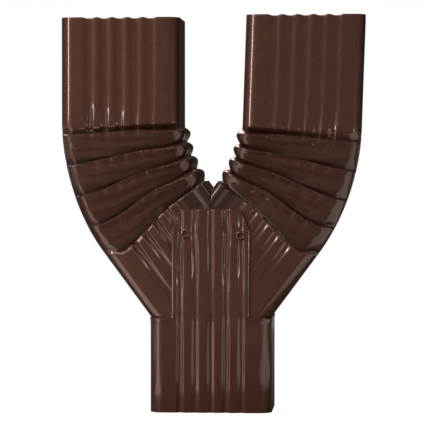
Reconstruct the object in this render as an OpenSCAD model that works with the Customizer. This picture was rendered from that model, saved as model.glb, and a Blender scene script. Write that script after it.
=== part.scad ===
// Downpipe branch: two crimped sheet elbows run down into one ribbed outlet tube.
// The front faces -Y, +Z is up, and the origin is the middle of the outlet's lower end.

/* [Sheet] */
// Thickness of the aluminium sheet
wall = 0.5; // [0.4:0.05:0.7]
// Air left between two sheets that lie against each other
sheet_gap = 0.2; // [0.15:0.05:0.4]

/* [Inlet tubes] */
// Width of each inlet tube, across its wide face
tube_w = 82.5; // [76:0.5:88]
// Depth of each inlet tube, front to back
tube_d = 60.3; // [54:0.1:68]
// Outer radius of the tubes' rounded corners
corner_r = 8.5; // [6:0.5:11]
// Height of the left inlet's rim above the outlet's lower end
left_inlet_z = 274; // [250:1:320]
// Height of the right inlet's rim above the outlet's lower end
right_inlet_z = 275.5; // [250:0.5:320]

/* [Bends] */
// Height of the centre that both bends turn about
bend_z = 202.6; // [195:0.1:210]
// Radius of each bend along its throat
throat_r = 71; // [66:0.5:76]
// Slope of both lower legs, from the vertical
leg_angle = 36.5; // [34:0.5:38]
// How far each lower leg's heel swells outwards
heel_out = 1; // [0:0.1:2]
// Angle of the bend at which that swelling starts
heel_out_from = 12; // [8:1:20]
// Outward lean of the left inlet tube
left_lean = 0; // [0:0.5:3]
// Outward lean of the right inlet tube
right_lean = 2; // [0:0.5:3]

/* [Pleats] */
// Number of pleats in each bend
pleat_count = 4; // [3:1:5]
// Angle from the start of a bend to its first groove
pleat_lead = 3.5; // [2:0.5:5]
// Depth of a pleat's groove beside the throat
pleat_depth = 2.8; // [1.5:0.1:3.5]
// How far a pleat bulges out of the throat
tooth_out = 3.5; // [2:0.1:4.5]
// Share of a pleat's depth that is left where it meets the heel
heel_share = 0.15; // [0:0.05:0.4]

/* [Legs] */
// How far a leg's throat side stands out of the last groove
leg_step = 2.6; // [1.5:0.1:3.5]
// How far the legs reach down inside the outlet tube
leg_insert = 12; // [8:1:20]
// Air left between the two legs where their mitred ends meet
mitre_gap = 0.4; // [0.3:0.1:1]

/* [Ribs] */
// Number of sunk ribs on each wide face
rib_count = 5; // [3:1:5]
// Distance between two ribs
rib_pitch = 10.65; // [9:0.05:11.5]
// Width of a rib's mouth
rib_w = 5.6; // [4:0.2:7]
// Depth of a rib
rib_depth = 1.3; // [0.8:0.1:1.8]
// How far an inlet's rim dips at each rib
rim_dip = 1.1; // [0:0.1:2]
// Length over which the ribs run out on a leg
rib_fade = 20; // [12:1:24]

/* [Outlet tube] */
// How much wider the outlet tube is than an inlet tube
outlet_wider = 2.1; // [1:0.1:4]
// How much deeper the outlet tube is than an inlet tube
outlet_deeper = 1.7; // [1:0.1:3]
// Height at which the outlet tube's corners and sides end
outlet_h = 65.5; // [55:0.5:75]
// Height of the tongues' top edge
tongue_z = 141; // [136:0.5:146]
// Width of each tongue
tongue_w = 54; // [48:1:60]
// Width of each tongue's flat top edge
tongue_top_w = 41.5; // [36:0.5:46]
// Height of the cut on each tongue's top corners
tongue_cut = 15; // [8:1:20]

/* [Rivets] */
// Diameter of a rivet's body
rivet_d = 3.2; // [2.8:0.1:4]
// Air round a rivet in its hole
rivet_gap = 0.1; // [0.05:0.05:0.2]
// Diameter of a rivet's head
rivet_head_d = 6.6; // [5.6:0.1:8]
// Height of a rivet's head
rivet_head_h = 1; // [0.8:0.1:1.4]
// Diameter of the hole down a rivet's middle
rivet_bore_d = 1.8; // [1.2:0.1:2]
// Diameter of the bulb that closes a rivet inside
rivet_bulb_d = 4.8; // [4.4:0.1:5.4]
// Length of the bulb that closes a rivet inside
rivet_bulb_l = 2.6; // [2:0.1:4]
// Height of the left leg's rivets
left_rivet_z = 124; // [118:0.5:128]
// Distance of the left leg's rivets from the middle
left_rivet_x = 17.6; // [14:0.1:22]
// Height of the right leg's rivets
right_rivet_z = 122.8; // [118:0.1:128]
// Distance of the right leg's rivets from the middle
right_rivet_x = 20.7; // [14:0.1:22]

/* [Hidden] */
$fn = 48;
BROWN = "#4e352e";
RIVET_BROWN = "#4a312a";
corner_steps = 4;
heel_r = throat_r + tube_w;
outlet_w = tube_w + outlet_wider;
outlet_d = tube_d + outlet_deeper;
// The legs are shallower than the tubes, so that the outlet's ribs pass over them
leg_d = outlet_d - 2 * (wall + rib_depth + sheet_gap);
leg_inset = (tube_d - leg_d) / 2;
leg_end_z = outlet_h - leg_insert;
// A heel passes just inside the outlet's side where it goes in
heel_in_x = outlet_w / 2 - wall - sheet_gap;
leg_heel_r = heel_r + heel_out;
bend_x = (leg_heel_r - (bend_z - outlet_h) * sin(leg_angle)) / cos(leg_angle) - heel_in_x;
outlet_corner_r = corner_r + wall + sheet_gap;
// A rib is a circular trough
rib_r = (pow(rib_w / 2, 2) + pow(rib_depth, 2)) / (2 * rib_depth);
far = 400;

// A rib across the wide face: place from its middle, and share of its depth
RIB_SHAPE = [[-rib_w / 2, 0], [-rib_w / 5, 1], [rib_w / 5, 1], [rib_w / 2, 0]];

// A pleat down the bend: place in its pitch, wide face's share and throat's share
PLEAT_SHAPE = [
    [0, -1, 0], [0.12, -0.05, 0.62], [0.26, 0.3, 0.88],
    [0.48, 0.18, 1], [0.7, -0.12, 0.85], [0.88, -0.55, 0.5]
];

function rib_place(k) = (k - (rib_count - 1) / 2) * rib_pitch;

// A point of a tube's outline: across from the throat, depth, its normal and its share of a rib
function wide_face(side) = [
    for (k = [0 : rib_count - 1], p = RIB_SHAPE)
        let (across = tube_w / 2 - side * (rib_place(k) + p[0]))
        [across, side * tube_d / 2, 0, side, p[1]]
];

function corner(across, depth, from) = [
    for (i = [0 : corner_steps])
        let (a = from + i * 90 / corner_steps)
        [across + corner_r * cos(a), depth + corner_r * sin(a), cos(a), sin(a), 0]
];

corner_out = tube_w - corner_r;
corner_back = tube_d / 2 - corner_r;
OUTLINE = concat(
    wide_face(-1), corner(corner_out, -corner_back, -90),
    corner(corner_out, corner_back, 0), wide_face(1),
    corner(corner_r, corner_back, 90), corner(corner_r, -corner_back, 180)
);

// A station along an elbow: angle, slide down the leg, ribs, pleat at the face and at the throat, inset
function stations(lean) =
    let (first = lean + pleat_lead, pitch = (leg_angle - first) / pleat_count)
    concat(
        [[lean, -far, 1, 0, 0, 0], [lean, -pleat_lead, 1, 0, 0, 0]],
        [[first - pitch * 0.12, 0, 0.4, -0.1, 0, 0]],
        [
            for (k = [0 : pleat_count - 1], p = PLEAT_SHAPE)
                [first + (k + p[0]) * pitch, 0, 0, p[1] * pleat_depth, p[2] * tooth_out, 0]
        ],
        [
            [leg_angle, 0, 0, -pleat_depth, 0, 0],
            [leg_angle, leg_step / 2, 0.8, -0.3, leg_step, 1],
            [leg_angle, rib_fade, 0, 0, leg_step, 1],
            [leg_angle, far, 0, 0, leg_step, 1]
        ]
    );

// How far a point of the outline is pushed along its normal at a station
function push(p, s) =
    let (
        fade = 1 - (1 - heel_share) * p[0] / tube_w,
        swell = max(0, s[0] - heel_out_from) / (leg_angle - heel_out_from)
    )
    s[4] * pow(max(0, -p[2]), 2)
    + heel_out * pow(swell, 1.5) * pow(max(0, p[2]), 2)
    + (s[3] * fade - s[5] * leg_inset) * pow(p[3], 2)
    - s[2] * rib_depth * p[4];

// A slide stops at the rim above, and at the outlet's depth or the mitre below
function stopped(slide, a, x, z, rim) =
    slide < 0 ? max(slide, (z - rim) / cos(a))
    : slide == 0 ? 0
    : min(slide, (z - leg_end_z) / cos(a), (-mitre_gap / 2 - x) / sin(a));

function place(p, s, skin, rim) =
    let (
        out = push(p, s) - skin,
        r = throat_r + p[0] + p[2] * out,
        x = bend_x - r * cos(s[0]),
        z = bend_z - r * sin(s[0]),
        t = stopped(s[1], s[0], x, z, rim - rim_dip * p[4])
    )
    [x + t * sin(s[0]), p[1] + p[3] * out, z - t * cos(s[0])];

// Two triangles for each patch between neighbouring rings
function patches(from, to, n) = [
    for (i = [0 : n - 1])
        let (j = (i + 1) % n)
        each [[from + i, from + j, to + j], [from + i, to + j, to + i]]
];

module elbow(lean, rim) {
    rings = stations(lean);
    n = len(OUTLINE);
    inside = len(rings) * n;
    last = inside - n;
    points = [for (skin = [0, wall], s = rings, p = OUTLINE) place(p, s, skin, rim)];
    faces = concat(
        [for (k = [0 : len(rings) - 2]) each patches(k * n, (k + 1) * n, n)],
        [for (k = [0 : len(rings) - 2]) each patches(inside + (k + 1) * n, inside + k * n, n)],
        patches(inside, 0, n),
        patches(last, inside + last, n)
    );
    polyhedron(points = points, faces = faces, convexity = 10);
}

// A rod through both wide faces where a leg's rivets go
module rivet_holes(x, z) {
    translate([x, 0, z])
        rotate([90, 0, 0])
            cylinder(d = rivet_d + 2 * rivet_gap, h = outlet_d + 2 * wall, center = true);
}

module left_elbow() {
    color(BROWN)
        difference() {
            elbow(left_lean, left_inlet_z);
            rivet_holes(-left_rivet_x, left_rivet_z);
        }
}

module right_elbow() {
    color(BROWN)
        difference() {
            mirror([1, 0, 0])
                elbow(right_lean, right_inlet_z);
            rivet_holes(right_rivet_x, right_rivet_z);
        }
}

module round_rectangle(w, d, r) {
    square([w - 2 * r, d], center = true);
    square([w, d - 2 * r], center = true);
    for (x = [-1, 1], y = [-1, 1])
        translate([x * (w / 2 - r), y * (d / 2 - r)])
            circle(r);
}

// The outlet's outline, drawn in by the sheet's thickness for its inside
module outlet_outline(inset) {
    difference() {
        round_rectangle(outlet_w - 2 * inset, outlet_d - 2 * inset, outlet_corner_r - inset);
        for (k = [0 : rib_count - 1], side = [-1, 1])
            translate([rib_place(k), side * (outlet_d / 2 + rib_r - rib_depth)])
                circle(rib_r + inset);
    }
}

// The tube below, and the two tongues that run up over the legs
module outlet_side_view() {
    square_w = outlet_w + 2;
    translate([-square_w / 2, -1])
        square([square_w, outlet_h + 1]);
    polygon([
        [-tongue_w / 2, 0], [tongue_w / 2, 0],
        [tongue_w / 2, tongue_z - tongue_cut], [tongue_top_w / 2, tongue_z],
        [-tongue_top_w / 2, tongue_z], [-tongue_w / 2, tongue_z - tongue_cut]
    ]);
}

module outlet_tube() {
    color(BROWN)
        difference() {
            intersection() {
                linear_extrude(tongue_z)
                    difference() {
                        outlet_outline(0);
                        outlet_outline(wall);
                    }
                rotate([90, 0, 0])
                    linear_extrude(outlet_d + 2, center = true)
                        outlet_side_view();
            }
            rivet_holes(-left_rivet_x, left_rivet_z);
            rivet_holes(right_rivet_x, right_rivet_z);
        }
}

// A blind rivet along +Z: its head stands on the sheet, and its bulb closes behind the leg
module rivet() {
    leg_back = (outlet_d - leg_d) / 2 + wall;
    bore_r = rivet_bore_d / 2;
    body_r = rivet_d / 2;
    head_r = rivet_head_d / 2;
    bulb_r = rivet_bulb_d / 2;
    bulb_top = -leg_back - sheet_gap;
    rotate_extrude()
        polygon([
            [bore_r, bulb_top - rivet_bulb_l], [body_r, bulb_top - rivet_bulb_l],
            [bulb_r, bulb_top - rivet_bulb_l * 0.6], [bulb_r, bulb_top - rivet_bulb_l * 0.25],
            [body_r, bulb_top], [body_r, 0], [head_r, 0], [head_r, rivet_head_h * 0.35],
            [head_r * 0.8, rivet_head_h * 0.8], [head_r * 0.55, rivet_head_h],
            [bore_r, rivet_head_h]
        ]);
}

module placed_rivet(side, x, z) {
    color(RIVET_BROWN)
        translate([x, side * outlet_d / 2, z])
            rotate([-90 * side, 0, 0])
                rivet();
}

module front_left_rivet() { placed_rivet(-1, -left_rivet_x, left_rivet_z); }

module front_right_rivet() { placed_rivet(-1, right_rivet_x, right_rivet_z); }

module back_left_rivet() { placed_rivet(1, -left_rivet_x, left_rivet_z); }

module back_right_rivet() { placed_rivet(1, right_rivet_x, right_rivet_z); }

left_elbow();
right_elbow();
outlet_tube();
front_left_rivet();
front_right_rivet();
back_left_rivet();
back_right_rivet();
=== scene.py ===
# %% [markdown]
# # A downpipe branch in crimped sheet
# Two rectangular rainwater elbows run down into one outlet tube, and four blind rivets
# hold them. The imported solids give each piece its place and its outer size. This lesson
# replaces each of them with a finer sheet that has smooth ribs, soft pleats and bent
# edges, and then paints it brown.

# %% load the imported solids
import math
from types import SimpleNamespace

import bpy
import numpy as np
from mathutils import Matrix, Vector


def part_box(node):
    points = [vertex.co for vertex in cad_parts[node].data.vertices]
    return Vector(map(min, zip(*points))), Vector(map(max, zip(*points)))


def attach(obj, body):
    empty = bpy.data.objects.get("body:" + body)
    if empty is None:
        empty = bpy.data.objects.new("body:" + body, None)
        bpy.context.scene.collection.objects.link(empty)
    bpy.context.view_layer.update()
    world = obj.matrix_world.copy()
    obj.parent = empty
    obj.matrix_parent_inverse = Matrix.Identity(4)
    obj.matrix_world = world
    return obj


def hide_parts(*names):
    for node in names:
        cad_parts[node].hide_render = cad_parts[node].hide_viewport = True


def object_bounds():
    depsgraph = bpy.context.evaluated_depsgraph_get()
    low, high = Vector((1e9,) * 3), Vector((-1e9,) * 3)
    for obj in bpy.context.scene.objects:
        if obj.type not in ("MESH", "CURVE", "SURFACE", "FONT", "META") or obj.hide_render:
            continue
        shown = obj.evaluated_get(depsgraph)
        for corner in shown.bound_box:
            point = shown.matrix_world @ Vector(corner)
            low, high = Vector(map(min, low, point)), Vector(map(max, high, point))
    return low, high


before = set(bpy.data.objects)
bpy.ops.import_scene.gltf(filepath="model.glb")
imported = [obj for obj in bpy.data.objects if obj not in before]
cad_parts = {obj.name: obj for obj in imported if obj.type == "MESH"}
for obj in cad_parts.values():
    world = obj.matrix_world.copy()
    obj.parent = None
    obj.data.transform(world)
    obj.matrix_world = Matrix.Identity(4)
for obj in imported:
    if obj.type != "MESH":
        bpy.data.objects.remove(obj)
solids_low, solids_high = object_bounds()
print("solids:", [round(v, 4) for v in (*solids_low, *solids_high)])

# %% [markdown]
# ## Sizes
# Lengths are metres and angles are degrees. What the solids can tell is read from their
# boxes, and the rest repeats the sizes that the branch was designed with, so that each
# sheet lies where its solid lies.

# %% sizes of the tubes
MM = 0.001
outlet_low, outlet_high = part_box("outlet_tube")
left_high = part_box("left_elbow")[1]
right_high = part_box("right_elbow")[1]

WALL = 0.5 * MM
SHEET_GAP = 0.2 * MM
OUTLET_W = outlet_high.x - outlet_low.x
OUTLET_D = outlet_high.y - outlet_low.y
OUTLET_H = 65.5 * MM
TONGUE_Z = outlet_high.z
TUBE_W = OUTLET_W - 2.1 * MM
TUBE_D = OUTLET_D - 1.7 * MM
CORNER_R = 8.5 * MM
RIM_DIP = 1.1 * MM
print("outlet, mm:", round(OUTLET_W / MM, 1), "x", round(OUTLET_D / MM, 1))

# %% sizes of the bends, the pleats and the ribs
BEND_Z = 202.6 * MM
THROAT_R = 71 * MM
LEG_ANGLE = 36.5
PLEATS = 4
PLEAT_LEAD = 3.5
PLEAT_DEPTH = 3.6 * MM
TOOTH_OUT = 3.5 * MM
HEEL_SHARE = 0.36
HEEL_OUT = 1 * MM
HEEL_OUT_FROM = 12
LEG_STEP = 2.6 * MM
LEG_INSERT = 12 * MM
MITRE_GAP = 0.4 * MM
RIBS = 5
RIB_PITCH = 10.65 * MM
RIB_W = 5.6 * MM
RIB_DEPTH = 1.3 * MM
RIB_FADE = 20 * MM

HEEL_R = THROAT_R + TUBE_W
LEG_D = OUTLET_D - 2 * (WALL + RIB_DEPTH + SHEET_GAP)
LEG_INSET = (TUBE_D - LEG_D) / 2
LEG_END_Z = OUTLET_H - LEG_INSERT
HEEL_IN_X = OUTLET_W / 2 - WALL - SHEET_GAP


def sine(a):
    return np.sin(np.radians(a))


def cosine(a):
    return np.cos(np.radians(a))


BEND_X = (
    (HEEL_R + HEEL_OUT - (BEND_Z - OUTLET_H) * sine(LEG_ANGLE)) / cosine(LEG_ANGLE) - HEEL_IN_X
)
print("bend centre x, mm:", round(BEND_X / MM, 2))

# %% [markdown]
# ## Camera
# The photo was taken from a little to the right, almost level with the middle of the
# branch, with a long lens. The camera is made first, so that every test render is
# already in the photo's frame.

# %% camera
IMAGE_SIDE = 430
VIEW_AZIMUTH = 4.0
VIEW_ELEVATION = 1.25
VIEW_DISTANCE = 1.55
FOCAL_PIXELS = 2199
SENSOR = 36
FARTHEST = 50
AIM = (1.1 * MM, 0, 136.4 * MM)


def make_camera():
    a, e = math.radians(VIEW_AZIMUTH), math.radians(VIEW_ELEVATION)
    back = (math.sin(a) * math.cos(e), -math.cos(a) * math.cos(e), math.sin(e))
    place = [AIM[i] + VIEW_DISTANCE * back[i] for i in range(3)]
    bpy.ops.object.camera_add(location=place, rotation=(math.pi / 2 - e, 0, a))
    camera = bpy.context.object
    camera.name = "camera"
    camera.data.sensor_width = SENSOR
    camera.data.lens = FOCAL_PIXELS / IMAGE_SIDE * SENSOR
    camera.data.clip_end = FARTHEST
    bpy.context.scene.camera = camera
    return camera


camera = make_camera()
print("camera lens:", round(camera.data.lens, 1))

# %% [markdown]
# ## Sums in the shader editor
# A material is a sum of noises and masks. Drawing each sum as nodes by hand is slow to
# read, so a small class wraps a socket and lets Python's own signs add Math nodes. One
# method makes every other node.


# %% a socket that can be added and multiplied
class Wire:
    def __init__(self, graph, socket):
        self.graph = graph
        self.socket = socket

    def math(self, operation, *others, swap=False):
        terms = [self, *others]
        if swap:
            terms.reverse()
        return self.graph.node("ShaderNodeMath", {"operation": operation}, *terms)

    def __add__(self, other):
        return self.math("ADD", other)

    def __sub__(self, other):
        return self.math("SUBTRACT", other)

    def __rsub__(self, other):
        return self.math("SUBTRACT", other, swap=True)

    def __mul__(self, other):
        return self.math("MULTIPLY", other)

    def clamp(self, low, high):
        """0 below low, 1 above high, and a soft ramp between them."""
        spans = {"interpolation_type": "SMOOTHSTEP"}
        return self.graph.node("ShaderNodeMapRange", spans, self, low, high, 0.0, 1.0)

    __radd__ = __add__
    __rmul__ = __mul__


# %% a shader that makes its nodes by one method
class Graph:
    def __init__(self, owner):
        self.owner = owner
        owner.use_nodes = True
        self.tree = owner.node_tree
        self.tree.nodes.clear()

    def node(self, kind, settings, *sockets, out=0, **named):
        """Add a node. Its inputs are given in order or by name, as wires or as values."""
        made = self.tree.nodes.new(kind)
        for key, value in settings.items():
            if key == "stops":
                self.set_stops(made.color_ramp, value)
            else:
                setattr(made, key, value)
        for key, value in [*enumerate(sockets), *named.items()]:
            slot = made.inputs[key.replace("_", " ") if isinstance(key, str) else key]
            if isinstance(value, Wire):
                self.tree.links.new(value.socket, slot)
            else:
                slot.default_value = value
        return Wire(self, made.outputs[out]) if made.outputs else made

    def set_stops(self, ramp, stops):
        while len(ramp.elements) < len(stops):
            ramp.elements.new(1)
        for element, (position, value) in zip(ramp.elements, stops):
            element.position = position
            element.color = (value, value, value, 1)


# %% [markdown]
# ## Brown paint on aluminium sheet
# Rainwater goods are folded from coil that was painted before it was cut. The film is
# satin under a thin clear gloss, which draws a bright line down every rounded corner.
# It could be one flat colour, but real paint drifts a little, has pale specks and fine
# handling marks. Noises make these three. Shade is painted into the colour as well: the
# pleats are darkened, most in their grooves, under each fold near the throat and on the
# heel side, and so is the seam between the legs. This is read from an attribute that
# each sheet brings with it, 0 on plain sheet and about 1 in a fold, which also makes the
# film there rougher and less glossy. The bump is only a faint orange peel, because the
# ribs and pleats are real shape.

# %% the paint
BROWN = (0.055, 0.0208, 0.014, 1)
WORN_BROWN = (0.088, 0.04, 0.028, 1)
# Painted shade: the dark brown that the attribute mixes in, in the pleats and the seam.
PAINTED_SHADE_BROWN = (0.009, 0.0018, 0.0008, 1)
WARM = (1, 0.82, 0.74, 1)
SHEET_ROUGHNESS = 0.34
RIVET_ROUGHNESS = 0.22
COAT = 0.6
DRIFT_WEAR = 0.25
MARK_WEAR = 0.16
SPECK_WEAR = 1.5
WEAR_START = 0.79
# How far the painted shade goes towards that dark brown.
PAINTED_SHADE_STRENGTH = 0.75
SPECK_ROUGHNESS = 0.08
MARK_ROUGHNESS = 0.07
CREASE_ROUGHNESS = 0.08
CREASE_COAT_LOSS = 0.2


def mix_colours(paint, share, first, second):
    """Blend two colours by a share. The first is a colour or a wire, the second a colour."""
    settings = {"data_type": "RGBA", "clamp_factor": True}
    mixed = paint.node("ShaderNodeMix", settings, out=2, Factor=share)
    inputs = mixed.socket.node.inputs
    if isinstance(first, Wire):
        paint.tree.links.new(first.socket, inputs[6])
    else:
        inputs[6].default_value = first
    inputs[7].default_value = second
    return mixed


def brown_paint(name, roughness):
    """Drift, specks and marks vary the film, and the sheet's attribute paints shade into it.
    """
    paint = Graph(bpy.data.materials.new(name))
    place = paint.node("ShaderNodeTexCoord", {}, out=3)
    drift = paint.node("ShaderNodeTexNoise", {}, Vector=place, Scale=28.0, Detail=3.0)
    specks = paint.node("ShaderNodeTexNoise", {}, Vector=place, Scale=650.0, Detail=5.0)
    marks = paint.node(
        "ShaderNodeTexNoise", {}, Vector=place, Scale=95.0, Detail=6.0, Roughness=0.65
    )
    peel = paint.node("ShaderNodeTexNoise", {}, Vector=place, Scale=900.0, Detail=2.0)
    worn = paint.node("ShaderNodeValToRGB", {"stops": [(0.45, 0), (0.8, 1)]}, Fac=marks)
    pressed = paint.node("ShaderNodeAttribute", {"attribute_name": "pressed"}, out=2)
    wear = drift * DRIFT_WEAR + worn * MARK_WEAR + specks * SPECK_WEAR - WEAR_START
    film = mix_colours(paint, wear, BROWN, WORN_BROWN)
    # Painted shade: the attribute darkens the colour in the pleats and the seam.
    film = mix_colours(paint, pressed * PAINTED_SHADE_STRENGTH, film, PAINTED_SHADE_BROWN)
    dulled = specks * SPECK_ROUGHNESS + worn * MARK_ROUGHNESS + pressed * CREASE_ROUGHNESS
    bump = paint.node(
        "ShaderNodeBump", {}, Strength=0.12, Distance=0.0002, Height=peel * 0.5 + marks
    )
    shade = paint.node(
        "ShaderNodeBsdfPrincipled", {}, Base_Color=film, Normal=bump,
        Roughness=roughness + dulled,
        Specular_IOR_Level=0.3, Specular_Tint=WARM,
        Coat_Weight=COAT - CREASE_COAT_LOSS * pressed, Coat_Roughness=0.1, Coat_Tint=WARM,
    )
    paint.node("ShaderNodeOutputMaterial", {}, Surface=shade)
    return paint.owner


sheet_paint = brown_paint("brown_sheet_paint", SHEET_ROUGHNESS)
rivet_paint = brown_paint("brown_rivet_paint", RIVET_ROUGHNESS)
print("materials:", sheet_paint.name, rivet_paint.name)

# %% [markdown]
# ## Shaping a sheet
# On the real object each tube is one strip of sheet, folded round and joined. A grid
# primitive is that strip: its columns run round the tube and its rows run down it.
# Each grid point is then placed by the tube's own rule, because no edit-mode tool makes
# dozens of slightly different pleat faces. The strip's two edges are merged, faces that
# the shears take away are deleted, and Solidify and Bevel give the sheet its thickness
# and its broken edges.


# %% a strip of sheet wrapped into a tube
MERGE_AT = 0.005 * MM
EDGE_BEVEL = 0.12 * MM
BEVEL_ABOVE = 65
SHEET_SMOOTH = 50


def clear_selection():
    if bpy.context.object and bpy.context.object.mode != "OBJECT":
        bpy.ops.object.mode_set(mode="OBJECT")
    bpy.ops.object.select_all(action="DESELECT")


def wrap_sheet(name, points, pressed=None, cut_away=None):
    """Make a tube of an array of rows and columns of points, closed round its columns."""
    rows, columns = points.shape[0], points.shape[1]
    clear_selection()
    bpy.ops.mesh.primitive_grid_add(x_subdivisions=columns, y_subdivisions=rows - 1, size=1)
    sheet = bpy.context.object
    sheet.name = name
    sheet.data.name = name
    closed = np.concatenate([points, points[:, :1]], axis=1)
    sheet.data.vertices.foreach_set("co", closed.reshape(-1))
    # The values of painted shade and film dulling go onto the points as an attribute.
    if pressed is not None:
        marks = np.concatenate([pressed, pressed[:, :1]], axis=1)
        layer = sheet.data.attributes.new("pressed", "FLOAT", "POINT")
        layer.data.foreach_set("value", marks.reshape(-1))
    sheet.data.update()
    bpy.ops.object.mode_set(mode="EDIT")
    if cut_away is not None:
        bpy.ops.mesh.select_mode(type="FACE")
        bpy.ops.mesh.select_all(action="DESELECT")
        bpy.ops.object.mode_set(mode="OBJECT")
        places = [v.co for v in sheet.data.vertices]
        for face in sheet.data.polygons:
            face.select = cut_away([places[i] for i in face.vertices])
        bpy.ops.object.mode_set(mode="EDIT")
        bpy.ops.mesh.delete(type="FACE")
    bpy.ops.mesh.select_mode(type="VERT")
    bpy.ops.mesh.select_all(action="SELECT")
    bpy.ops.mesh.remove_doubles(threshold=MERGE_AT)
    bpy.ops.mesh.normals_make_consistent(inside=False)
    bpy.ops.object.mode_set(mode="OBJECT")
    return sheet


def finish_sheet(sheet, node):
    """Give the sheet its thickness, its smooth shading, its paint and its place."""
    thick = sheet.modifiers.new("sheet", "SOLIDIFY")
    thick.thickness = WALL
    thick.offset = -1
    edge = sheet.modifiers.new("edges", "BEVEL")
    edge.width = EDGE_BEVEL
    edge.segments = 2
    edge.limit_method = "ANGLE"
    edge.angle_limit = math.radians(BEVEL_ABOVE)
    for modifier in ("sheet", "edges"):
        bpy.ops.object.modifier_apply(modifier=modifier)
    bpy.ops.object.shade_smooth_by_angle(angle=math.radians(SHEET_SMOOTH))
    sheet.data.materials.append(sheet_paint)
    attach(sheet, "root")
    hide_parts(node)
    triangles = sum(len(face.vertices) - 2 for face in sheet.data.polygons)
    print(sheet.name, "triangles:", triangles)


# %% [markdown]
# ## The outline of a tube
# The section is a rectangle with round corners. Each of its points knows its place, the
# way that the sheet faces there, and how much of a rib it carries. A rib is a soft
# trough, so its share of the depth rises and falls smoothly across its mouth.


# %% the outline
RIB_FLOOR = 0.12
RIPPLE_WAVES = 4
WAVE_NUMBER = 95
WAVE_NUMBER_STEP = 60
WAVE_TURN = 2.4
SEED_TURN = 1.7
WAVE_SUM = 2.4
WAVE_FADE = 0.6
SEED_PHASE = 3.1


def spread(start, end, count):
    """Even steps that leave out the end, where the next piece of the outline starts."""
    return np.linspace(start, end, count, endpoint=False)


def corner_arc(across, depth, radius, start, steps):
    a = spread(start, start + 90, steps)
    return across + radius * cosine(a), depth + radius * sine(a), cosine(a), sine(a)


def outline(width, depth, radius, flat, side_steps, corner_steps):
    """Round the tube from the throat along the front face: across, depth and the normal."""
    w, d = width - radius, depth / 2 - radius
    side = spread(-d, d, side_steps)
    parts = [
        (flat, 0 * flat - depth / 2, 0 * flat, 0 * flat - 1),
        corner_arc(w, -d, radius, -90, corner_steps),
        (0 * side + width, side, 0 * side + 1, 0 * side),
        corner_arc(w, d, radius, 0, corner_steps),
        (width - flat, 0 * flat + depth / 2, 0 * flat, 0 * flat + 1),
        corner_arc(radius, d, radius, 90, corner_steps),
        (0 * side, -side, 0 * side - 1, 0 * side),
        corner_arc(radius, -d, radius, 180, corner_steps),
    ]
    return [np.concatenate(row) for row in zip(*parts)]


def smooth(x, low, high):
    """0 below low, 1 above high, and a soft ramp between them."""
    t = np.clip((x - low) / (high - low), 0, 1)
    return t * t * (3 - 2 * t)


def rib_share(offset, width=RIB_W):
    """1 at the bottom of the nearest rib and 0 between ribs, for a place across the face."""
    nearest = np.clip(np.round(offset / RIB_PITCH), -(RIBS // 2), RIBS // 2)
    away = np.abs(offset - nearest * RIB_PITCH)
    return 1 - smooth(away, RIB_FLOOR * width, 0.5 * width)


def ripple(a, b, seed):
    """A slow unevenness of hand-pressed sheet, between about -1 and 1.

    It is a sum of waves that run in different directions, each shorter and lower than
    the last. The wave numbers are radians a metre.
    """
    total = 0
    for k in range(RIPPLE_WAVES):
        turn = seed * SEED_TURN + k * WAVE_TURN
        wave = a * math.cos(turn) + b * math.sin(turn)
        wave = wave * (WAVE_NUMBER + WAVE_NUMBER_STEP * k)
        total = total + np.sin(wave + seed * (SEED_PHASE + k)) / (1 + WAVE_FADE * k)
    return total / WAVE_SUM


rib_places = np.array([0, RIB_W / 3, RIB_W])
print("a rib's middle, its side and beyond it:", rib_share(rib_places).round(2))

# %% [markdown]
# ## The rows of an elbow
# The rows run from the level rim to the end of the leg. Each row has an angle round the
# bend, and the rows above and below the bend slide straight along the tube. In a pleat
# the sheet falls sharply into a dark groove, rises to a crest just under it, and slopes
# back to the next groove, like roof shingles. The phase counts this from 0 to 1, and
# the rows are crowded at its start, where the sheet turns most.

# %% rows of an elbow
RIM_ROWS = 30
LEAD_ROWS = 6
PLEAT_ROWS = 24
LEG_ROWS = 40
PLEAT_CROWD = 1.4
LEG_CROWD = 1.6
CREST_OUT = 0.4
GROOVE_IN = 1.15
BACK_SLOPE = 1.05
CREST_AT_THROAT = 0.3
CREST_AT_HEEL = 0.045
CREST_MOVES = (0.06, 0.4)
GROOVE_WALL = 7
TOOTH_LEAN = 0.8


def pleat_face(phase, share):
    """-1 in the groove, proud at the crest: a round fold at the throat, a shingle beyond."""
    heelward = smooth(share, *CREST_MOVES)
    crest = CREST_AT_THROAT + (CREST_AT_HEEL - CREST_AT_THROAT) * heelward
    depth = GROOVE_IN + CREST_OUT
    rise = -GROOVE_IN + depth * smooth(phase, 0, crest)
    back = np.clip((phase - crest) / (1 - crest), 0, 1)
    fall = CREST_OUT - BACK_SLOPE * back - (depth - BACK_SLOPE) * back**GROOVE_WALL
    return np.where(phase < crest, rise, fall)


def tooth(phase):
    """How far a pleat stands out at the throat, where the spare sheet is gathered."""
    return np.clip(np.sin(np.pi * np.clip(phase, 0, 1) ** TOOTH_LEAN), 0, 1)


def elbow_rows(lean):
    """Angle round the bend, share of a straight run and phase in a pleat of each row."""
    first = lean + PLEAT_LEAD
    pitch = (LEG_ANGLE - first) / PLEATS
    rows = [(lean, s, -1.0) for s in spread(-1, 0, RIM_ROWS)]
    rows += [(a, 0.0, -1.0) for a in spread(lean, first, LEAD_ROWS)]
    for k in range(PLEATS):
        for phase in spread(0, 1, PLEAT_ROWS) ** PLEAT_CROWD:
            rows.append((first + pitch * (k + phase), 0.0, phase))
    rows += [(LEG_ANGLE, s**LEG_CROWD, -1.0) for s in np.linspace(0, 1, LEG_ROWS)]
    return [np.array(column)[:, None] for column in zip(*rows)]


print("elbow rows:", len(elbow_rows(0)[0]))

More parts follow.
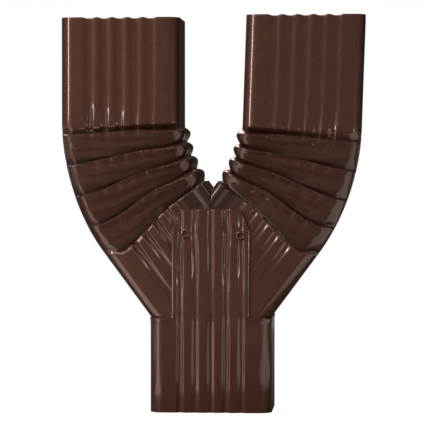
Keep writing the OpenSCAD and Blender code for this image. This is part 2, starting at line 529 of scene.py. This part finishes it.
# %% [markdown]
# ## How far each row leans
# The real pleats aren't straight spokes. Pressed by hand tools, they sag towards the
# heel, and near the throat each one laps a little over the groove below it. So a row's
# angle depends on the place across the tube as well. Where a row would pass the bend's
# end, what is over is spilled straight down the leg. Pairs of numbers are the two ends
# of a soft ramp: a share of the way across the tube, or a phase in a pleat.

# %% an elbow's grid
WIDE_STEPS = 92
SIDE_STEPS = 12
CORNER_STEPS = 10
SAG = 3.2
SAG_GROWS = (0.3, 0.78)
SAG_ENDS = (0.85, 1.02)
SAG_POWER = 2.5
OVERLAP = 1.7
OVERLAP_STARTS = (0.45, 0.9)
OVERLAP_ENDS = (0.9, 1)
OVERLAP_FADES = (0.3, 0.95)
LEAST_SINE = 0.01


def along(x, z, angle, run, spill, top):
    """How far a point goes along the tube: up to the rim, or down to the leg's end."""
    up = (z - top) / cosine(angle) * -run
    to_end = (z - LEG_END_Z) / cosine(angle)
    to_mitre = (-MITRE_GAP / 2 - x) / np.maximum(sine(angle), LEAST_SINE)
    down = np.maximum(spill, np.minimum(to_end, to_mitre))
    return np.where(run < 0, up, spill + (down - spill) * run)


def elbow_grid(rim, lean):
    """Rows and columns of an elbow. Each name holds a value for each row, column or both."""
    flat = spread(CORNER_R, TUBE_W - CORNER_R, WIDE_STEPS)
    across, depth, out_x, out_y = outline(
        TUBE_W, TUBE_D, CORNER_R, flat, SIDE_STEPS, CORNER_STEPS
    )
    angle, run, phase = elbow_rows(lean)
    share = across / TUBE_W
    face_side = out_y**2
    turned = np.clip((angle - lean) / (LEG_ANGLE - lean), 0, 1)
    sag = SAG * smooth(share, *SAG_GROWS) * (1 - smooth(share, *SAG_ENDS))
    sag = sag * turned**SAG_POWER
    lap = OVERLAP * smooth(phase, *OVERLAP_STARTS) * (1 - smooth(phase, *OVERLAP_ENDS))
    lap = lap * (1 - smooth(share, *OVERLAP_FADES)) * face_side
    bent = np.minimum(angle + sag + lap, LEG_ANGLE)
    spill = np.radians(angle + sag + lap - bent) * (THROAT_R + across)

    x = BEND_X - (THROAT_R + across) * cosine(bent)
    z = BEND_Z - (THROAT_R + across) * sine(bent)
    slid = along(x, z, bent, run, spill, rim)
    upper = run < 0
    leg = (angle >= LEG_ANGLE) & (phase < 0)
    return SimpleNamespace(
        across=across, depth=depth, out_x=out_x, out_y=out_y, share=share,
        offset=across - TUBE_W / 2, face_side=face_side,
        throat_side=np.maximum(0, -out_x) ** 2, heel_side=np.maximum(0, out_x) ** 2,
        angle=angle, run=run, phase=phase, turned=turned, bent=bent, spill=spill, slid=slid,
        upper=upper, leg=leg, lead=~upper & ~leg & (phase < 0), pleat=phase >= 0,
        past=np.where(leg, slid - spill, 0),
    )


print("columns of an elbow:", elbow_grid(left_high.z, 0).across.size)

# %% [markdown]
# ## What the press does to the sheet
# Pleats press in at the face and stand out at the throat as teeth, and the heel's
# corners are dented between them. Ribs press in along the faces: they are shallow on
# the upper tube, almost gone on the pleats, and deepest just below them, where the leg
# leaves the press. Each effect is one function, so that it can be changed alone.

# %% pleats
ROUGH_GROOVE = 0.14
ROUGH_ACROSS = 1.6
ROUGH_BAND = 8
ROUGH_BAND_SHIFT = 0.3
ROUGH_STEP = 0.03
FIRST_FOLD = 1.3
THROAT_EXTRA = 0.25
THROAT_EXTRA_ENDS = (0.1, 0.7)


def fold_relief(g, lean, seed):
    """How far the face stands out of the tube, as a share of the pleats' depth."""
    face = np.where(g.pleat, pleat_face(np.clip(g.phase, 0, 1), g.share), 0)
    step = np.round(g.angle / ROUGH_BAND - ROUGH_BAND_SHIFT) * ROUGH_STEP
    rough = 1 + ROUGH_GROOVE * ripple(g.offset * ROUGH_ACROSS, step, seed + 4)
    uneven = np.where(face < 0, face * rough, face * (2 - rough))
    face = np.where(g.pleat, uneven, face)
    lead_in = -GROOVE_IN * smooth(g.angle - lean, FIRST_FOLD, PLEAT_LEAD)
    face = np.where(g.lead, lead_in, face)
    return np.where(g.leg, GROOVE_IN * (smooth(g.past, 0, LEG_STEP) - 1), face)


def fold_depth(g):
    """Depth of the pleats: full at the throat, and less towards the heel."""
    fade = 1 - (1 - HEEL_SHARE) * g.share
    extra = THROAT_EXTRA * (1 - smooth(g.share, *THROAT_EXTRA_ENDS))
    return PLEAT_DEPTH * (fade + extra)


def teeth_relief(g):
    """How far the throat stands out, as a share of the teeth's height."""
    teeth = np.where(g.pleat, tooth(g.phase), 0)
    return np.where(g.leg, smooth(g.past, 0, LEG_STEP) * LEG_STEP / TOOTH_OUT, teeth)


throat_depth = PLEAT_DEPTH * (1 + THROAT_EXTRA)
heel_depth = PLEAT_DEPTH * HEEL_SHARE
print("pleats:", PLEATS, "deep, mm:", round(throat_depth / MM, 1), round(heel_depth / MM, 1))

# %% ribs of an elbow
TUBE_RIB = 0.42
ROOT_GROWS = (0.2, 0.9)
PLEAT_RIB = 0.3
PLEAT_RIB_LOSS = 0.8
PLEAT_RIB_FADES = (0.1, 0.5)
LEG_RIB_STARTS = (-1 * MM, 3 * MM)
LEG_RIB_AT_THROAT = 0.3
LEG_RIB_GROWS = (0.22, 0.45)
LEG_REACH = 0.4
LEG_REACH_OF_ROOT = 0.3
TUBE_RIB_W = 9.6 * MM
BEND_RIB_W = 6.4 * MM


def rib_relief(g, root, leg_root):
    """How deep the ribs are, as a share of their full depth, and how wide."""
    near_root = 1 - np.clip(-g.slid / RIB_FADE, 0, 1)
    at_root = TUBE_RIB + root * smooth(g.share, *ROOT_GROWS)
    ribs = np.where(g.upper, TUBE_RIB + (at_root - TUBE_RIB) * near_root**2, 0)
    ribs = np.where(g.lead, at_root, ribs)
    pleat_rib = PLEAT_RIB * (1 - PLEAT_RIB_LOSS * smooth(g.phase, *PLEAT_RIB_FADES))
    ribs = np.where(g.pleat, pleat_rib, ribs)

    reach = RIB_FADE * (LEG_REACH + LEG_REACH_OF_ROOT * leg_root)
    leg_rib = leg_root * smooth(g.past, *LEG_RIB_STARTS) * np.exp(-g.past / reach)
    heelward = (1 - LEG_RIB_AT_THROAT) * smooth(g.share, *LEG_RIB_GROWS)
    ribs = np.where(g.leg, leg_rib * (LEG_RIB_AT_THROAT + heelward), ribs)
    width = TUBE_RIB_W - (TUBE_RIB_W - BEND_RIB_W) * near_root**2
    return ribs, np.where(g.upper, width, BEND_RIB_W)


print("ribs, mm wide:", round(TUBE_RIB_W / MM, 1), "and", round(BEND_RIB_W / MM, 1))

# %% slow waves and creases
WAVE = 0.25 * MM
UPPER_WAVE = 0.6
LEG_WAVE = 0.2
CREASE = 0.3 * MM
CREASES_DOWN = 2.1
CREASES_ACROSS = 1.3
CREASE_BANDS = 4.3
CREASE_SHIFT = 0.37


def wave_relief(g, seed):
    """The sheet's own unevenness, with slanting creases across each pleat."""
    wave = WAVE * ripple(g.offset, np.radians(g.angle) * HEEL_R + g.slid, seed)
    wave = wave * np.where(g.upper, UPPER_WAVE, np.where(g.leg, LEG_WAVE, 1))
    start = CREASE_SHIFT * np.floor(g.turned * CREASE_BANDS) * seed
    cycle = CREASES_DOWN * g.phase + CREASES_ACROSS * g.share + start
    streak = np.sin(2 * np.pi * cycle) * np.where(g.pleat, np.sin(np.pi * g.share), 0)
    return wave + CREASE * streak


print("waves and creases, mm:", round(WAVE / MM, 2), "and", round(CREASE / MM, 2))

# %% [markdown]
# ## Placing an elbow's points
# The rule is the bend's own: a point's distance from the bend's centre is the throat
# radius plus its place across the tube. What the press did is added along the sheet's
# normal. Below the pleats the leg is narrower, so that it fits into the outlet, and at
# the throat its corner is squeezed flat and square where it meets the other leg. The
# same values tell where shade is painted into the colour and the film is dulled, and
# they become the sheet's attribute for both.

# %% an elbow
CORNER_DENT = 0.9 * MM
CORNER_SWELL = 0.9 * MM
SEAM_IN = 2.2 * MM
SEAM_SQUARE = 1.9 * MM
SEAM_ACROSS = (0.12, 0.36)
SEAM_DOWN = (14 * MM, 26 * MM)
DRESSED_DIP = 0.8 * RIM_DIP

# Painted shade, as shares of the attribute: the whole pleat, the heel side, the grooves, the
# undersides of the folds and the seam between the legs are darkened. The same values dull the
# film.
PLEAT_SHADE = 0.5
HEEL_SHADE = 0.7
GROOVE_SHADE = 0.6
UNDER_FOLD_SHADE = 0.35
UNDER_PHASE = (0.45, 0.95)
UNDER_FADES = (0.35, 0.8)
SEAM_SHADE = 1.1
# The heel gets less painted shade at the first and the last pleat.
LESS_SHADE_FROM = 2
LESS_SHADE_TURN = 10
LESS_SHADE_HEEL = 0.9


def shade_and_dulling_values(g, lean, groove, seam):
    """How much shade is painted and the film dulled: 0 on plain sheet, about 1 in a groove."""
    deepest = np.maximum(groove, HEEL_SHADE * g.heel_side)
    painted_shade = PLEAT_SHADE + (1 - PLEAT_SHADE) * deepest

    # The heel gets the least painted shade at the first and the last pleat.
    first = lean + LESS_SHADE_FROM
    begun = smooth(g.angle, first, first + LESS_SHADE_TURN)
    ending = smooth(g.angle, LEG_ANGLE - LESS_SHADE_TURN, LEG_ANGLE)
    less_shade = 1 - begun * (1 - ending)
    painted_shade = painted_shade * (1 - LESS_SHADE_HEEL * less_shade * g.heel_side)

    # Painted shadow under each fold, near the throat.
    under = smooth(g.phase, *UNDER_PHASE) * (1 - smooth(g.share, *UNDER_FADES))
    on_face = GROOVE_SHADE * groove**2 + UNDER_FOLD_SHADE * under
    painted_shade = painted_shade + on_face * g.face_side
    # In the leg the painted shade lies along the seam between the legs.
    return np.where(g.pleat, painted_shade, np.where(g.leg, SEAM_SHADE * seam, groove))


def elbow_points(rim, lean, root, leg_root, seed):
    """The points of an elbow and their values of painted shade and dulling, for the elbow on
    the left.
    """
    g = elbow_grid(rim, lean)
    face = fold_relief(g, lean, seed)
    ribs, rib_w = rib_relief(g, root, leg_root)
    groove = np.clip(-face, 0, 1) ** 2
    crest = np.clip(face, 0, 1)
    inset = np.where(g.leg, smooth(g.past, 0, LEG_STEP), 0)
    seam = (1 - smooth(g.share, *SEAM_ACROSS)) * (1 - smooth(g.past, *SEAM_DOWN))
    seam = inset * seam
    swell = smooth(g.angle, HEEL_OUT_FROM, LEG_ANGLE)

    # In the middle of a corner both sides are 1/2, so that 4 brings their product to 1.
    heel_corner = 4 * g.face_side * g.heel_side
    throat_corner = 4 * g.face_side * g.throat_side

    on_face = face * fold_depth(g) - inset * LEG_INSET + wave_relief(g, seed)
    on_face = on_face - ribs * RIB_DEPTH * rib_share(g.offset, rib_w) - seam * SEAM_IN
    push = (
        on_face * g.face_side
        + teeth_relief(g) * TOOTH_OUT * g.throat_side
        + swell * HEEL_OUT * g.heel_side
        + (crest * CORNER_SWELL - groove * CORNER_DENT) * heel_corner
        + seam * SEAM_SQUARE * throat_corner
    )
    radius = THROAT_R + g.across + g.out_x * push
    x = BEND_X - radius * cosine(g.bent)
    z = BEND_Z - radius * sine(g.bent)
    top = rim - DRESSED_DIP * rib_share(g.offset, TUBE_RIB_W) * g.face_side
    slid = along(x, z, g.bent, g.run, g.spill, top)
    y = np.clip(g.depth + g.out_y * push, solids_low.y, solids_high.y)
    points = np.stack([x + slid * sine(g.bent), y, z - slid * cosine(g.bent)], axis=-1)
    return points, shade_and_dulling_values(g, lean, groove, seam)


# %% [markdown]
# ## The two elbows
# They came off the same tool but aren't twins. The left one's ribs are pressed harder at
# both ends of the pleats. The right one's upper tube leans outwards by two degrees, so
# that its pleats start a little later. The right elbow is made like the left one and
# then mirrored, with its columns turned round too, so that its faces look outwards.

# %% the two elbows
LEFT_LEAN = 0
LEFT_ROOT = 1.1
LEFT_LEG_ROOT = 2.6
LEFT_SEED = 1
RIGHT_LEAN = 2
RIGHT_ROOT = 0.3
RIGHT_LEG_ROOT = 1.1
RIGHT_SEED = 2
left_points, left_shade_and_dulling = elbow_points(
    left_high.z, LEFT_LEAN, LEFT_ROOT, LEFT_LEG_ROOT, LEFT_SEED
)
left_sheet = wrap_sheet("left_elbow_sheet", left_points, left_shade_and_dulling)
finish_sheet(left_sheet, "left_elbow")

right_points, right_shade_and_dulling = elbow_points(
    right_high.z, RIGHT_LEAN, RIGHT_ROOT, RIGHT_LEG_ROOT, RIGHT_SEED
)
right_points = (right_points * (-1, 1, 1))[:, ::-1]
right_sheet = wrap_sheet("right_elbow_sheet", right_points, right_shade_and_dulling[:, ::-1])
finish_sheet(right_sheet, "right_elbow")

# %% [markdown]
# ## Outlet tube
# The legs go into one wider tube. Its wide faces carry the same ribs, and the middle of
# each face runs on upwards as a tongue with cut corners, which covers the mitre between
# the legs and takes the rivets. The grid is wrapped round as before. Its upper rows are
# kept only inside the tongue, and each column of the tongue is stretched to end on the
# tongue's slanted corner.
#
# No two of its ribs are alike. Some are pressed deeper, all of them weaken where the
# tongue begins, and the rivets dent the sheet and draw the ribs towards them. Beside the
# tongue the cut edge stands out as a small lip, and the tongue's own edges curl in.

# %% rows and columns of the outlet
TONGUE_W = 54 * MM
TONGUE_TOP_W = 41.5 * MM
TONGUE_CUT = 15 * MM
OUTLET_ROWS = 60
TONGUE_ROWS = 76
COLUMN_COUNTS = [12, 12, 56, 12, 12]
OUTLET_SIDE_STEPS = 18
OUTLET_CORNER_R = CORNER_R + WALL + SHEET_GAP
RIB_PLACES = [-22 * MM, -12 * MM, -1 * MM, 9 * MM, 20 * MM]
RIB_STRENGTHS = [1.15, 0.9, 0.6, 1.25, 0.9]
LEFT_RIVET = (-17.6 * MM, 124 * MM)
RIGHT_RIVET = (20.7 * MM, 122.8 * MM)


def outlet_columns():
    """Places along the wide face, with a column exactly on each edge of the tongue."""
    half = OUTLET_W / 2
    marks = [OUTLET_CORNER_R, half - TONGUE_W / 2, half - TONGUE_TOP_W / 2]
    marks += [2 * half - m for m in reversed(marks)]
    pieces = zip(marks, marks[1:], COLUMN_COUNTS)
    return np.concatenate([spread(start, end, count) for start, end, count in pieces])


def tongue_top(x):
    """Height of the tongue's end above a place across it."""
    away = (np.abs(x) - TONGUE_TOP_W / 2) / ((TONGUE_W - TONGUE_TOP_W) / 2)
    return TONGUE_Z - TONGUE_CUT * np.clip(away, 0, 1)


print("columns of a wide face:", outlet_columns().size)

# %% ribs and dents of the outlet
WEAK_STARTS = (56 * MM, 70 * MM)
WEAK_ENDS = (84 * MM, 104 * MM)
WEAK_LOSS = 0.7
BELOW_ENDS = (55 * MM, 64 * MM)
BELOW_LOSS = 0.05
OUTLET_RIB = 1.12
PULL = 0.35
PULL_REACH = 9 * MM
DENT = 0.3 * MM
DENT_REACH = 6 * MM
DENT_LOSS = 0.8
ABOVE_RIVET = 4 * MM
ABOVE_RIVET_X = (14 * MM, 18 * MM)
ABOVE_RIVET_LOSS = 0.7
CURL = 0.5 * MM
CURL_W = 1.2 * MM
LIP = 0.4 * MM
LIP_RISES = (62.5 * MM, 65.5 * MM)
LIP_FALLS = (65.6 * MM, 69 * MM)
LIP_X = (24 * MM, 31 * MM)
OUTLET_WAVE = 0.12 * MM
OUTLET_SEED = 3
SAME_PLACE = 0.01 * MM


def near(x, z, spot, reach):
    """1 at a spot of the face and 0 well beyond its reach."""
    return np.exp(-((x - spot[0]) ** 2 + (z - spot[1]) ** 2) / reach**2)


def outlet_ribs(x, z):
    """How deep the ribs are at each point, as a share of their full depth."""
    weak = smooth(z, *WEAK_STARTS) * (1 - smooth(z, *WEAK_ENDS))
    below = 1 - smooth(z, *BELOW_ENDS)
    drawn = 0
    dents = 0
    for spot in (LEFT_RIVET, RIGHT_RIVET):
        drawn = drawn + near(x, z, spot, PULL_REACH) * (x - spot[0]) * PULL
        dents = dents + near(x, z, spot, DENT_REACH)
    above = smooth(z, LEFT_RIVET[1] + ABOVE_RIVET, TONGUE_Z)
    above = above * smooth(np.abs(x), *ABOVE_RIVET_X)

    ribs = rib_share(x + drawn) * np.interp(x, RIB_PLACES, RIB_STRENGTHS)
    ribs = ribs * (OUTLET_RIB - WEAK_LOSS * weak - BELOW_LOSS * below)
    ribs = ribs * (1 - ABOVE_RIVET_LOSS * above) * (1 - DENT_LOSS * np.clip(dents, 0, 1))
    return ribs, dents


def outlet_points():
    across, depth, out_x, out_y = outline(
        OUTLET_W, OUTLET_D, OUTLET_CORNER_R, outlet_columns(), OUTLET_SIDE_STEPS, CORNER_STEPS
    )
    x = across - OUTLET_W / 2
    lower = np.linspace(0, OUTLET_H, OUTLET_ROWS)[:, None] + 0 * x
    share = np.linspace(0, 1, TONGUE_ROWS + 1)[1:, None]
    upper = OUTLET_H + (tongue_top(x) - OUTLET_H) * share
    z = np.concatenate([lower, upper])
    face_side = out_y**2

    ribs, dents = outlet_ribs(x, z)
    curl = smooth(np.abs(x), TONGUE_W / 2 - CURL_W, TONGUE_W / 2) * (z > OUTLET_H)
    wave = OUTLET_WAVE * ripple(x, z, OUTLET_SEED)
    lip = LIP * smooth(z, *LIP_RISES) * (1 - smooth(z, *LIP_FALLS))
    push = (wave - RIB_DEPTH * ribs - DENT * dents - CURL * curl) * face_side
    push = push + lip * smooth(np.abs(x), *LIP_X)
    return np.stack([x + out_x * push, depth + out_y * push, z], axis=-1)


def beside_tongue(face):
    """Whether a face lies above the outlet's upper edge and outside the tongue."""
    low = min(co[2] for co in face)
    beside = max(abs(co[0]) for co in face) > TONGUE_W / 2 + SAME_PLACE
    return low > OUTLET_H - SAME_PLACE and beside


outlet_sheet = wrap_sheet("outlet_sheet", outlet_points(), cut_away=beside_tongue)
finish_sheet(outlet_sheet, "outlet_tube")

# %% [markdown]
# ## Blind rivets
# A blind rivet is a hollow body with a domed head. A mandrel inside it is pulled until
# the far end bulges, and then it snaps, which leaves a dark hole with the broken pin in
# it. It could be a cylinder with a rounded edge, but then the hole and the bulge would be
# missing. Here it starts as a circle as wide as the bore. Each next ring of the profile
# is extruded, scaled and lifted, and the last ring is bridged back to the first.

# %% the rivet's rings
RIVET_BORE_R = 0.9 * MM
RIVET_BODY_R = 1.6 * MM
RIVET_HEAD_R = 3.3 * MM
RIVET_BULB_R = 2.4 * MM
RIVET_HEAD_H = 1 * MM
RIVET_SIDES = 40
BULB_TOP = -((OUTLET_D - LEG_D) / 2 + WALL + SHEET_GAP)
RIVET_RINGS = [
    (RIVET_BORE_R, BULB_TOP - 2.6 * MM),
    (RIVET_BODY_R, BULB_TOP - 2.6 * MM),
    (RIVET_BULB_R, BULB_TOP - 1.6 * MM),
    (RIVET_BULB_R, BULB_TOP - 0.65 * MM),
    (RIVET_BODY_R, BULB_TOP),
    (RIVET_BODY_R, -0.45 * MM),
    (RIVET_HEAD_R - 0.15 * MM, -0.45 * MM),
    (RIVET_HEAD_R, -0.3 * MM),
    (RIVET_HEAD_R, 0.25 * MM),
    (RIVET_HEAD_R - 0.12 * MM, 0.45 * MM),
    (RIVET_HEAD_R - 0.45 * MM, 0.75 * MM),
    (RIVET_HEAD_R - 0.85 * MM, RIVET_HEAD_H - 0.06 * MM),
    (RIVET_HEAD_R - 1.15 * MM, RIVET_HEAD_H),
    (RIVET_HEAD_R - 1.45 * MM, RIVET_HEAD_H - 0.1 * MM),
    (RIVET_HEAD_R - 1.7 * MM, RIVET_HEAD_H - 0.4 * MM),
    (RIVET_BORE_R + 0.4 * MM, -0.2 * MM),
    (RIVET_BORE_R, -0.5 * MM),
]
MANDREL_RINGS = [
    (0.3 * MM, BULB_TOP - 3.1 * MM),
    (0.95 * MM, BULB_TOP - 2.7 * MM),
    (0.88 * MM, BULB_TOP - 2.2 * MM),
    (0.88 * MM, -1 * MM),
    (0.55 * MM, -0.7 * MM),
    (0.2 * MM, -0.9 * MM),
]


def turn(name, rings, closed):
    """Extrude a circle ring by ring along +Z, and bridge or fill its ends."""
    clear_selection()
    radius, height = rings[0]
    bpy.ops.mesh.primitive_circle_add(
        vertices=RIVET_SIDES, radius=radius, location=(0, 0, height), fill_type="NOTHING"
    )
    turned = bpy.context.object
    turned.name = name
    bpy.ops.object.transform_apply(location=True)
    bpy.ops.object.mode_set(mode="EDIT")
    bpy.ops.mesh.select_all(action="SELECT")
    for next_radius, next_height in rings[1:]:
        bpy.ops.mesh.extrude_region_move(
            TRANSFORM_OT_translate={"value": (0, 0, next_height - height)}
        )
        grow = next_radius / radius
        bpy.ops.transform.resize(value=(grow, grow, 1), center_override=(0, 0, 0))
        radius, height = next_radius, next_height
    bpy.ops.mesh.select_all(action="DESELECT")
    bpy.ops.mesh.select_non_manifold()
    if closed:
        bpy.ops.mesh.bridge_edge_loops()
    else:
        bpy.ops.mesh.fill_holes(sides=0)
    bpy.ops.mesh.select_all(action="SELECT")
    bpy.ops.mesh.normals_make_consistent(inside=False)
    bpy.ops.object.mode_set(mode="OBJECT")
    return turned


print("rings of a rivet and of its pin:", len(RIVET_RINGS), len(MANDREL_RINGS))

# %% [markdown]
# ## One rivet and its four places
# The head is painted like the sheet, only smoother. The pin is left as bare, dull steel,
# because it snaps after the head was painted. Body and pin are joined into one mesh,
# which is then copied, laid on its side and set at each place.

# %% one rivet and its copies
PIN_STEEL = (0.06, 0.05, 0.045, 1)
RIVET_SMOOTH = 40
steel = Graph(bpy.data.materials.new("broken_pin_steel"))
steel_place = steel.node("ShaderNodeTexCoord", {}, out=3)
steel_grain = steel.node("ShaderNodeTexNoise", {}, Vector=steel_place, Scale=1500.0)
steel_shade = steel.node(
    "ShaderNodeBsdfPrincipled", {},
    Base_Color=PIN_STEEL, Metallic=1.0, Roughness=0.35 + steel_grain * 0.25,
)
steel.node("ShaderNodeOutputMaterial", {}, Surface=steel_shade)
rivet = turn("rivet", RIVET_RINGS, closed=True)
rivet.data.materials.append(rivet_paint)
mandrel = turn("mandrel", MANDREL_RINGS, closed=False)
mandrel.data.materials.append(steel.owner)
clear_selection()
mandrel.select_set(True)
rivet.select_set(True)
bpy.context.view_layer.objects.active = rivet
bpy.ops.object.join()
bpy.ops.object.shade_smooth_by_angle(angle=math.radians(RIVET_SMOOTH))


def set_rivet(name, side, spot):
    """Set a copy of the rivet on one face: the front at side -1, the back at side 1."""
    placed = rivet.copy()
    placed.data = rivet.data.copy()
    placed.name = name + "_set"
    bpy.context.collection.objects.link(placed)
    clear_selection()
    placed.select_set(True)
    bpy.context.view_layer.objects.active = placed
    placed.rotation_euler = (-side * math.pi / 2, 0, 0)
    placed.location = (spot[0], side * OUTLET_D / 2, spot[1])
    bpy.ops.object.transform_apply(location=True, rotation=True)
    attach(placed, "root")
    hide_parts(name)
    triangles = sum(len(face.vertices) - 2 for face in placed.data.polygons)
    print(placed.name, "triangles:", triangles)


for side, side_name in ((-1, "front"), (1, "back")):
    set_rivet(side_name + "_left_rivet", side, LEFT_RIVET)
    set_rivet(side_name + "_right_rivet", side, RIGHT_RIVET)
clear_selection()
rivet.select_set(True)
bpy.ops.object.delete()

# %% [markdown]
# ## Floor and background
# The photo is a cut-out on white. A pale floor takes the branch's shadow. Half of what
# the camera sees of it near the branch is a white glow, and further away it is all glow,
# so that it ends as the photo's white. Nothing but the camera sees the glow. The floor's
# own tone is darker near the branch, where it is mirrored in the paint.
#
# The world is white to the camera too. To everything else it is a dim, warm room,
# brightest overhead and darkest behind the branch. As plain light it is dimmer still, so
# that the paint keeps its depth of colour.

# %% floor and world
LAMP_COLOUR = (1.0, 0.88, 0.82)
ROOM_LEVEL = 0.22
BACK_LEVEL = 0.03
SKY_LEVEL = 0.25
BACK_DEPTH = (-0.2, 0.4)
SKY_HEIGHT = (0.2, 0.95)
PLAIN_LIGHT_LOSS = 0.45
FLOOR_SIDE = 6
FLOOR_ROUGHNESS = 0.4
FLOOR_CLOUDS = 0.1
FLOOR_TONE_NEAR = 0.1
FLOOR_TONE_GAIN = 0.45
FLOOR_TONE_REACH = (0.6, 1.2)
GLOW_NEAR = 1.95
GLOW_SHARE_NEAR = 0.5
GLOW_REACH = (0.2, 0.6)


def make_floor():
    clear_selection()
    bpy.ops.mesh.primitive_plane_add(size=FLOOR_SIDE, location=(0, 0, 0))
    floor = bpy.context.object
    floor.name = "floor"
    paint = Graph(bpy.data.materials.new("white_floor"))
    place = paint.node("ShaderNodeTexCoord", {}, out=3)
    cloud = paint.node("ShaderNodeTexNoise", {}, Vector=place, Scale=3.0)
    away = paint.node("ShaderNodeVectorMath", {"operation": "LENGTH"}, place, out=1)
    far = away.clamp(*GLOW_REACH)
    level = away.clamp(*FLOOR_TONE_REACH) * FLOOR_TONE_GAIN + FLOOR_TONE_NEAR
    tone = paint.node("ShaderNodeCombineColor", {}, level, level, level)
    rough = cloud * FLOOR_CLOUDS + FLOOR_ROUGHNESS
    matte = paint.node("ShaderNodeBsdfDiffuse", {}, Color=tone, Roughness=rough)
    strength = GLOW_NEAR - (GLOW_NEAR - 1) * far
    glow = paint.node("ShaderNodeEmission", {}, Color=(1, 1, 1, 1), Strength=strength)
    path = paint.node("ShaderNodeLightPath", {})
    share = path * ((1 - GLOW_SHARE_NEAR) * far + GLOW_SHARE_NEAR)
    both = paint.node("ShaderNodeMixShader", {}, share, matte, glow)
    paint.node("ShaderNodeOutputMaterial", {}, Surface=both)
    floor.data.materials.append(paint.owner)


def make_world():
    world = Graph(bpy.data.worlds.new("white_studio"))
    toward = world.node("ShaderNodeTexCoord", {})
    x_y_z = world.node("ShaderNodeSeparateXYZ", {}, toward).socket.node
    height = Wire(world, x_y_z.outputs["Z"])
    depth = Wire(world, x_y_z.outputs["Y"])
    front = ROOM_LEVEL - (ROOM_LEVEL - BACK_LEVEL) * depth.clamp(*BACK_DEPTH)
    level = front + SKY_LEVEL * height.clamp(*SKY_HEIGHT)
    path = world.node("ShaderNodeLightPath", {})
    diffuse = Wire(world, path.socket.node.outputs["Is Diffuse Ray"])
    level = level * (1 - PLAIN_LIGHT_LOSS * diffuse)
    room = world.node("ShaderNodeBackground", {}, Color=(*LAMP_COLOUR, 1), Strength=level)
    seen = world.node("ShaderNodeBackground", {}, Color=(1, 1, 1, 1), Strength=1.0)
    both = world.node("ShaderNodeMixShader", {}, path, room, seen)
    world.node("ShaderNodeOutputWorld", {}, Surface=both)
    bpy.context.scene.world = world.owner
    bpy.context.scene.view_settings.view_transform = "Standard"


make_floor()
make_world()
print("floor side, m:", FLOOR_SIDE)

# %% [markdown]
# ## Lamps
# Most of what is seen on glossy paint is the mirror image of a lamp, and the rest is
# plain light. Real studios use large softboxes for both. Here they are partly kept
# apart: a glint lamp is seen by reflections only, and a fill lamp by none, so that a
# bright line can be placed without lighting the face beside it.
#
# A tall, narrow softbox to the left draws the line down each left corner, and a weaker
# one does so on the right. A wide lamp above the camera lights the faces and the pleats'
# crests, a fill lamp under it softens their shadows, and a big one behind gives the
# back its light. Low strips and cards lying on the floor are mirrored in the lower
# faces. They draw the outlet's broad bands and the thin lines of its ribs.

# %% lamps
MIDDLE = (0, 0, 0.14)
CARD_HEIGHT = 0.002


def set_lamp(lamp, name, width, length, power, kind):
    lamp.name = name
    lamp.data.shape = "RECTANGLE"
    lamp.data.size = width
    lamp.data.size_y = length
    lamp.data.energy = power
    lamp.data.color = LAMP_COLOUR
    lamp.visible_camera = False
    lamp.visible_diffuse = kind != "glint"
    lamp.visible_glossy = kind != "fill"


def softbox(name, azimuth, elevation, distance, width, height, power, kind="both"):
    """An area lamp that faces the branch. Azimuth 0 is the front, and 90 is the right."""
    a, e = math.radians(azimuth), math.radians(elevation)
    place = (
        MIDDLE[0] + distance * math.sin(a) * math.cos(e),
        MIDDLE[1] - distance * math.cos(a) * math.cos(e),
        MIDDLE[2] + distance * math.sin(e),
    )
    bpy.ops.object.light_add(
        type="AREA", location=place, rotation=(math.pi / 2 - e, 0, a)
    )
    set_lamp(bpy.context.object, name, width, height, power, kind)


def floor_card(name, azimuth, distance, width, length, power):
    """A glossy-only lamp that lies on the floor and points up, as a white table glows."""
    a = math.radians(azimuth)
    place = (distance * math.sin(a), -distance * math.cos(a), CARD_HEIGHT)
    bpy.ops.object.light_add(type="AREA", location=place, rotation=(math.pi, 0, a))
    set_lamp(bpy.context.object, name, width, length, power, "glint")


softbox(
    "left_softbox", azimuth=-48, elevation=20, distance=1.6,
    width=0.18, height=1.0, power=19, kind="glint",
)
softbox(
    "right_softbox", azimuth=58, elevation=44, distance=1.6,
    width=0.4, height=0.5, power=5, kind="glint",
)
softbox(
    "top_softbox", azimuth=-34, elevation=42, distance=1.15,
    width=0.8, height=0.6, power=7.4,
)
softbox(
    "low_softbox", azimuth=-24, elevation=-2, distance=0.9,
    width=0.5, height=0.1, power=3.2, kind="fill",
)
softbox(
    "back_softbox", azimuth=212, elevation=45, distance=2.2,
    width=1.4, height=1.2, power=50,
)
softbox(
    "right_strip", azimuth=50, elevation=-1.6, distance=1.3,
    width=0.28, height=0.06, power=0.9, kind="glint",
)
softbox(
    "low_right_strip", azimuth=44, elevation=-5, distance=1.3,
    width=0.8, height=0.05, power=0.35, kind="glint",
)
softbox(
    "low_left_strip", azimuth=-44, elevation=-5, distance=1.3,
    width=0.8, height=0.05, power=0.7, kind="glint",
)
floor_card("left_card", azimuth=-64, distance=0.72, width=0.5, length=0.56, power=0.8)
floor_card("right_card", azimuth=62, distance=0.6, width=0.5, length=0.8, power=2.3)
floor_card("left_line", azimuth=-48, distance=0.62, width=0.13, length=0.96, power=1.25)
lamps = [item.name for item in bpy.data.objects if item.type == "LIGHT"]
print("lamps:", len(lamps))
